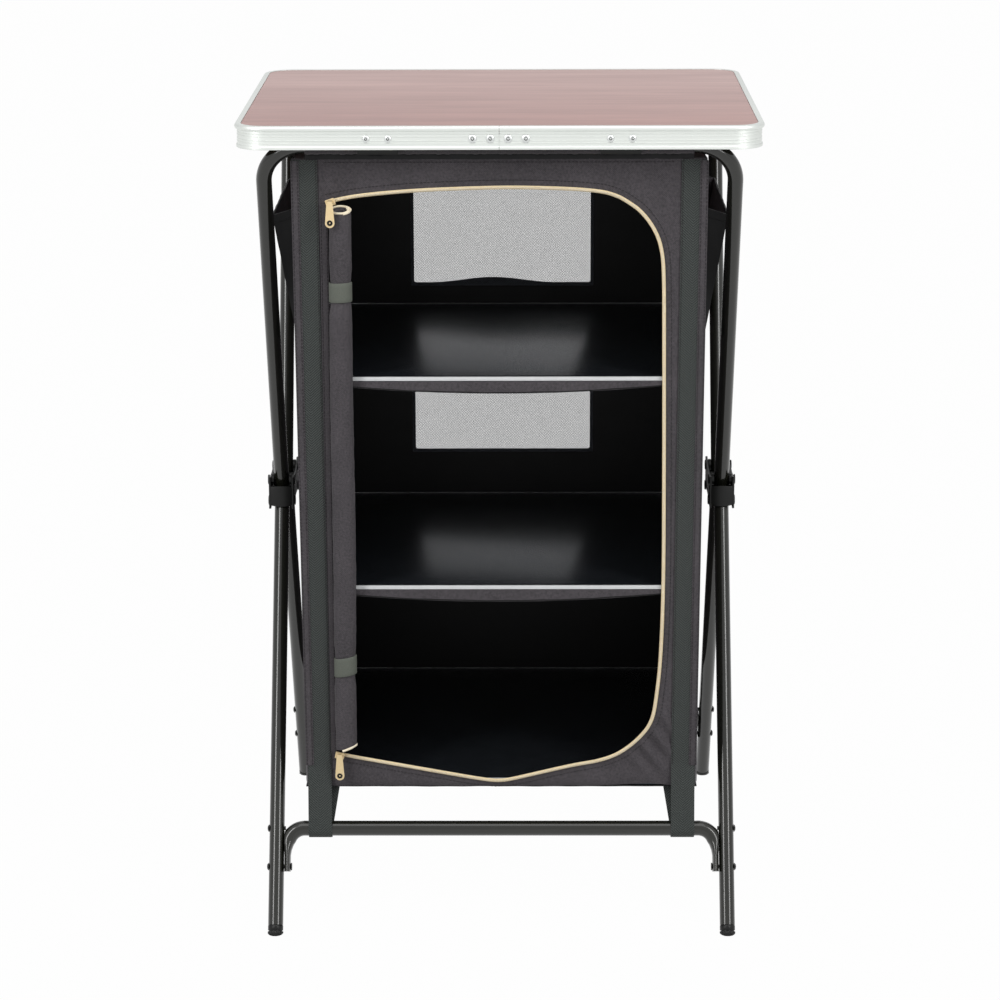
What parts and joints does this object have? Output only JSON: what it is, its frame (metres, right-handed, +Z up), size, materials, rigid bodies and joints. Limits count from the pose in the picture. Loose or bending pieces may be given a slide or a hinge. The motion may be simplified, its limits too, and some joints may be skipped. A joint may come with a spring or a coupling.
{
  "type": "camp kitchen cupboard",
  "caption": "Folding camp kitchen cupboard: rimmed table top on a hubbed tube frame, with a zipped fabric cabinet and board shelves.",
  "frame": {"origin": "on the ground, in the middle of the four feet, under the middle of the table top", "axes": "+Z up, +X to the right as seen from the door side, +Y to the back; the door faces -Y"},
  "size_m": [0.6, 0.5738, 0.96],
  "materials": {
    "laminate": "thin wood-look laminate, satin",
    "aluminium": "satin anodised extrusion",
    "painted_steel": "gloss dark olive grey paint on round tube",
    "black_plastic": "moulded, satin",
    "fabric": "woven polyester, matt",
    "webbing": "ribbed webbing",
    "tie_webbing": "ribbed webbing, lighter",
    "window_mesh": "fine open mesh",
    "shelf_board": "thin board with a satin black face",
    "zip_tape": "tan zip tape, coil and pull tabs",
    "zip_metal": "tan lacquered sliders"
  },
  "bodies": {
    "hubs": {"hub_left": "black_plastic", "hub_right": "black_plastic"},
    "lower_front": {"lower_front_crossbar": "painted_steel", "lower_front_foot_left": "black_plastic", "lower_front_foot_right": "black_plastic", "lower_front_leg_left": "painted_steel", "lower_front_leg_right": "painted_steel", "lower_front_rivet_left_lower": "black_plastic", "lower_front_rivet_left_upper": "black_plastic", "lower_front_rivet_right_lower": "black_plastic", "lower_front_rivet_right_upper": "black_plastic"},
    "lower_back": {"lower_back_crossbar": "painted_steel", "lower_back_foot_left": "black_plastic", "lower_back_foot_right": "black_plastic", "lower_back_leg_left": "painted_steel", "lower_back_leg_right": "painted_steel", "lower_back_rivet_left_lower": "black_plastic", "lower_back_rivet_left_upper": "black_plastic", "lower_back_rivet_right_lower": "black_plastic", "lower_back_rivet_right_upper": "black_plastic"},
    "upper_front": {"upper_front_tube": "painted_steel"},
    "upper_back": {"upper_back_tube": "painted_steel"},
    "tabletop": {"back_clip_left": "black_plastic", "back_clip_right": "black_plastic", "clip_rivet_left_first": "aluminium", "clip_rivet_left_second": "aluminium", "clip_rivet_right_first": "aluminium", "clip_rivet_right_second": "aluminium", "front_clip_left": "black_plastic", "front_clip_right": "black_plastic", "rim_splice_plate": "aluminium", "splice_rivet_1": "aluminium", "splice_rivet_2": "aluminium", "splice_rivet_3": "aluminium", "splice_rivet_4": "aluminium", "tabletop_board": "laminate", "tabletop_rim": "aluminium"},
    "cabinet": {"cabinet_body": "fabric", "side_pocket_left": "fabric", "side_pocket_right": "fabric"},
    "cabinet_front": {"front_panel": "fabric", "door_zip": "zip_tape", "door_roll": "fabric", "tie_tab_upper": "tie_webbing", "tie_tab_lower": "tie_webbing", "strap_front_left": "webbing", "strap_front_right": "webbing"},
    "cabinet_back": {"back_panel": "fabric", "window_mesh_upper": "window_mesh", "window_mesh_lower": "window_mesh", "strap_back_left": "webbing", "strap_back_right": "webbing"},
    "shelf_upper": {"shelf_upper": "shelf_board"},
    "shelf_lower": {"shelf_lower": "shelf_board"},
    "base_board": {"base_board": "shelf_board"},
    "zip_slider_upper": {"zip_slider_upper": "zip_metal"},
    "zip_slider_lower": {"zip_slider_lower": "zip_metal"},
    "zip_pull_upper": {"zip_pull_upper": "zip_tape"},
    "zip_pull_lower": {"zip_pull_lower": "zip_tape"}
  },
  "joints": [
    {"name": "frame_fold", "type": "hinge", "parent": "hubs", "child": "lower_front", "pos_m": [0, -0.035, 0.469], "axis": [1, 0, 0], "range_deg": [0, 27.29], "deforming": ["front_panel", "door_zip", "door_roll", "tie_tab_upper", "tie_tab_lower", "strap_front_left", "strap_front_right", "back_panel", "window_mesh_upper", "window_mesh_lower", "strap_back_left", "strap_back_right"]},
    {"name": "lower_back_fold", "type": "hinge", "parent": "hubs", "child": "lower_back", "pos_m": [0, 0.035, 0.469], "axis": [1, 0, 0], "range_deg": [-27.29, 0]},
    {"name": "upper_front_fold", "type": "hinge", "parent": "hubs", "child": "upper_front", "pos_m": [0, -0.035, 0.495], "axis": [1, 0, 0], "range_deg": [-22.64, 0]},
    {"name": "upper_back_fold", "type": "hinge", "parent": "hubs", "child": "upper_back", "pos_m": [0, 0.035, 0.495], "axis": [1, 0, 0], "range_deg": [0, 22.64]},
    {"name": "tabletop_lift", "type": "slide", "parent": "hubs", "child": "tabletop", "axis": [0, 0, 1], "range_m": [0, 0.1201]},
    {"name": "cabinet_rise", "type": "slide", "parent": "hubs", "child": "cabinet", "axis": [0, 0, 1], "range_m": [0, 0.03672]},
    {"name": "cabinet_front_hang", "type": "hinge", "parent": "upper_front", "child": "cabinet_front", "pos_m": [0, -0.218, 0.934], "axis": [1, 0, 0], "range_deg": [0, 22.64]},
    {"name": "cabinet_back_hang", "type": "hinge", "parent": "upper_back", "child": "cabinet_back", "pos_m": [0, 0.218, 0.934], "axis": [1, 0, 0], "range_deg": [-22.64, 0]},
    {"name": "shelf_upper_out", "type": "slide", "parent": "cabinet", "child": "shelf_upper", "axis": [0, -1, 0], "range_m": [0, 0.4301]},
    {"name": "shelf_lower_out", "type": "slide", "parent": "cabinet", "child": "shelf_lower", "axis": [0, -1, 0], "range_m": [0, 0.4301]},
    {"name": "base_board_out", "type": "slide", "parent": "cabinet", "child": "base_board", "axis": [0, -1, 0], "range_m": [0, 0.4301]},
    {"name": "zip_slide_upper", "type": "slide", "parent": "cabinet_front", "child": "zip_slider_upper", "axis": [0.9503, 0, 0.3114], "range_m": [0, 0.018]},
    {"name": "zip_pull_lift_upper", "type": "hinge", "parent": "zip_slider_upper", "child": "zip_pull_upper", "pos_m": [-0.19237, -0.2248, 0.87231], "axis": [-1, 0, 0], "range_deg": [0, 100]},
    {"name": "zip_slide_lower", "type": "slide", "parent": "cabinet_front", "child": "zip_slider_lower", "axis": [0.9816, 0, -0.1909], "range_m": [0, 0.16]},
    {"name": "zip_pull_lift_lower", "type": "hinge", "parent": "zip_slider_lower", "child": "zip_pull_lower", "pos_m": [-0.19223, -0.2248, 0.20681], "axis": [-1, 0, 0], "range_deg": [0, 100]}
  ],
  "couplings": [
    {"joint": "lower_back_fold", "follows": "frame_fold", "ratio": -1},
    {"joint": "upper_front_fold", "follows": "frame_fold", "ratio": -0.82911},
    {"joint": "upper_back_fold", "follows": "frame_fold", "ratio": 0.82911},
    {"joint": "tabletop_lift", "follows": "frame_fold", "m_per_rad": 0.25194},
    {"joint": "cabinet_rise", "follows": "frame_fold", "m_per_rad": 0.076875},
    {"joint": "cabinet_front_hang", "follows": "frame_fold", "ratio": 0.82911},
    {"joint": "cabinet_back_hang", "follows": "frame_fold", "ratio": -0.82911},
    {"joint": "shelf_upper_out", "follows": "frame_fold", "m_per_rad": 0.90279},
    {"joint": "shelf_lower_out", "follows": "frame_fold", "m_per_rad": 0.90279},
    {"joint": "base_board_out", "follows": "frame_fold", "m_per_rad": 0.90279}
  ]
}
